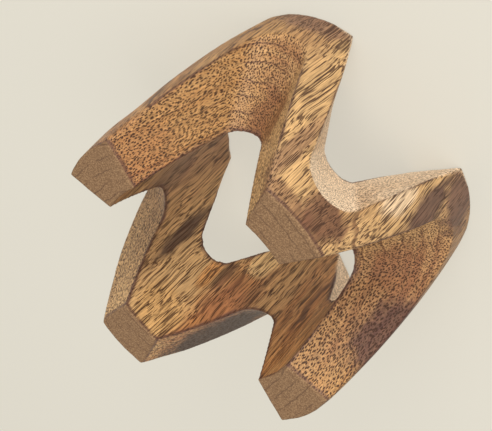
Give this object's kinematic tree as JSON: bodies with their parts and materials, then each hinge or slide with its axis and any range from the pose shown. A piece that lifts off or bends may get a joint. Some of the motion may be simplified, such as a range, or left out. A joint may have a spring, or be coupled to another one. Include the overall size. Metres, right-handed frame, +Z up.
{
  "type": "interlocking wooden ring puzzle",
  "caption": "Zigzag crown-shaped ring of carved wood that pulls apart into four V-shaped blocks joined by hidden tongues.",
  "frame": {"origin": "centre of the ring, on the plane of the four feet it stands on", "axes": "+Z up along the ring's axis, -Y towards the front block, +X towards the right block"},
  "size_m": [0.086, 0.086, 0.0595],
  "materials": {
    "wood_block_front": "satin",
    "wood_block_right": "satin",
    "wood_block_back": "satin",
    "wood_block_left": "satin"
  },
  "bodies": {
    "block_front": {"block_front": "wood_block_front"},
    "block_right": {"block_right": "wood_block_right"},
    "block_back": {"block_back": "wood_block_back"},
    "block_left": {"block_left": "wood_block_left"}
  },
  "joints": [
    {"name": "slide_right", "type": "slide", "parent": "block_front", "child": "block_right", "axis": [0.7071, 0.7071, 0], "range_m": [0, 0.016]},
    {"name": "slide_left", "type": "slide", "parent": "block_front", "child": "block_left", "axis": [-0.7071, 0.7071, 0], "range_m": [0, 0.016]},
    {"name": "slide_back", "type": "slide", "parent": "block_front", "child": "block_back", "axis": [0, 1, 0], "range_m": [0, 0.02264]}
  ],
  "couplings": [
    {"joint": "slide_left", "follows": "slide_right", "ratio": 1},
    {"joint": "slide_back", "follows": "slide_right", "ratio": 1.4142}
  ]
}
